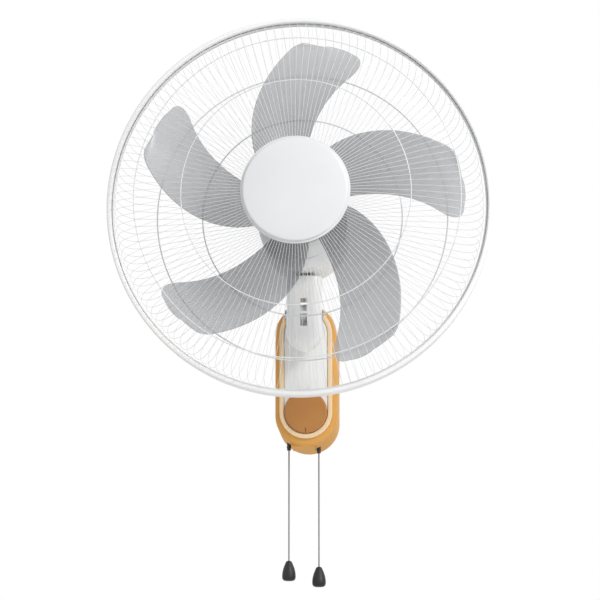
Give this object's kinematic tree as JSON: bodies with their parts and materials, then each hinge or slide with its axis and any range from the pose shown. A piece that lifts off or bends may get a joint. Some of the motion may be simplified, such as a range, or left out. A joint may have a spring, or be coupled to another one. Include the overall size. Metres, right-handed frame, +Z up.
{
  "type": "wall mounted fan",
  "caption": "Wall fan with a slim oval base on a wall bracket, two pull cords with bell knobs, a tilting neck, a swinging motor head, swept grey blades and a domed wire guard with a plain disc.",
  "frame": {"origin": "on the back of the wall bracket, at the middle of the base's height and width, in the wall's plane", "axes": "+Z up along the wall, +Y into the wall, +X to the right seen from the front; the fan blows towards -Y"},
  "size_m": [0.444, 0.308, 0.6432],
  "materials": {
    "white_plastic": "satin white",
    "guard_wire": "white powder coat",
    "blade_plastic": "translucent grey",
    "honey_plastic": "satin honey",
    "cream_plastic": "satin cream",
    "brown_plastic": "satin brown",
    "black_plastic": "matte",
    "black_rubber": "matte",
    "grey_cord": "braided",
    "steel": "zinc plated",
    "core_steel": "laminated",
    "copper": "varnished copper wire",
    "cast_aluminium": "as cast",
    "brass": "plain"
  },
  "bodies": {
    "base": {"wall_bracket": "steel", "lead_grommet": "black_rubber", "base_housing": "honey_plastic", "base_screw_top": "steel", "base_screw_bottom": "steel", "trim_ring": "cream_plastic", "front_panel": "white_plastic", "round_cap": "brown_plastic", "run_capacitor": "black_plastic", "terminal_block": "cream_plastic", "speed_switch": "black_plastic", "swing_switch": "black_plastic", "cord_nut_left": "black_plastic", "cord_nut_right": "black_plastic", "tilt_arm": "white_plastic", "arm_screw_left": "steel", "arm_screw_right": "steel", "tilt_bolt": "steel", "tilt_nut": "steel"},
    "speed_drum": {"speed_drum": "brass"},
    "swing_drum": {"swing_drum": "brass"},
    "left_pull": {"pull_link_left": "steel", "pull_cord_left": "grey_cord", "pull_knob_left": "black_plastic"},
    "right_pull": {"pull_link_right": "steel", "pull_cord_right": "grey_cord", "pull_knob_right": "black_plastic"},
    "neck": {"neck": "white_plastic", "swivel_post": "steel", "thrust_washer": "black_plastic"},
    "swing_link": {"swing_link": "steel"},
    "head": {"swivel_bracket": "cast_aluminium", "swing_motor": "cast_aluminium", "front_end_shield": "cast_aluminium", "rear_end_shield": "cast_aluminium", "stator_core": "core_steel", "front_winding": "copper", "rear_winding": "copper", "front_bearing": "steel", "rear_bearing": "steel", "motor_cover": "white_plastic", "cover_screw_left": "steel", "cover_screw_right": "steel", "motor_faceplate": "white_plastic", "rear_guard": "guard_wire", "front_guard": "guard_wire", "guard_rim_band": "white_plastic", "guard_nut": "black_plastic", "badge": "white_plastic"},
    "swing_crank": {"swing_crank": "brass"},
    "rotor": {"rotor_core": "core_steel", "motor_shaft": "steel", "drive_pin": "steel", "fan_blades": "blade_plastic", "blade_nut": "black_plastic"}
  },
  "joints": [
    {"name": "left_cord_pull", "type": "slide", "parent": "base", "child": "left_pull", "axis": [0, 0, -1], "range_m": [0, 0.01], "stiffness_N_per_m": 150, "springref_m": -0.004},
    {"name": "right_cord_pull", "type": "slide", "parent": "base", "child": "right_pull", "axis": [0, 0, -1], "range_m": [0, 0.01], "stiffness_N_per_m": 150, "springref_m": -0.004},
    {"name": "speed_drum_turn", "type": "hinge", "parent": "base", "child": "speed_drum", "pos_m": [-0.0155, -0.04, -0.0457], "axis": [0, 1, 0], "range_deg": [-90, 0]},
    {"name": "swing_drum_turn", "type": "hinge", "parent": "base", "child": "swing_drum", "pos_m": [0.0201, -0.04, -0.0457], "axis": [0, 1, 0], "range_deg": [-90, 0]},
    {"name": "head_tilt", "type": "hinge", "parent": "base", "child": "neck", "pos_m": [0, -0.108, 0.066], "axis": [1, 0, 0], "range_deg": [-15, 20]},
    {"name": "head_swing", "type": "hinge", "parent": "neck", "child": "head", "pos_m": [0, -0.108, 0.173], "axis": [0, 0, 1], "range_deg": [-40, 40]},
    {"name": "link_swing", "type": "hinge", "parent": "neck", "child": "swing_link", "pos_m": [-0.00767, -0.10571, 0.1322], "axis": [0, 0, 1], "range_deg": [-41, 41]},
    {"name": "crank_turn", "type": "hinge", "parent": "head", "child": "swing_crank", "pos_m": [0, -0.08, 0.128], "axis": [0, 0, 1], "range_deg": [-90, 90]},
    {"name": "blade_spin", "type": "hinge", "parent": "head", "child": "rotor", "pos_m": [0, -0.2123, 0.173], "axis": [0, -1, 0], "continuous": true}
  ],
  "couplings": [
    {"joint": "speed_drum_turn", "follows": "left_cord_pull", "rad_per_m": -149.25},
    {"joint": "swing_drum_turn", "follows": "right_cord_pull", "rad_per_m": -149.25},
    {"joint": "link_swing", "follows": "head_swing", "ratio": 1},
    {"joint": "crank_turn", "follows": "head_swing", "ratio": -2.23}
  ]
}
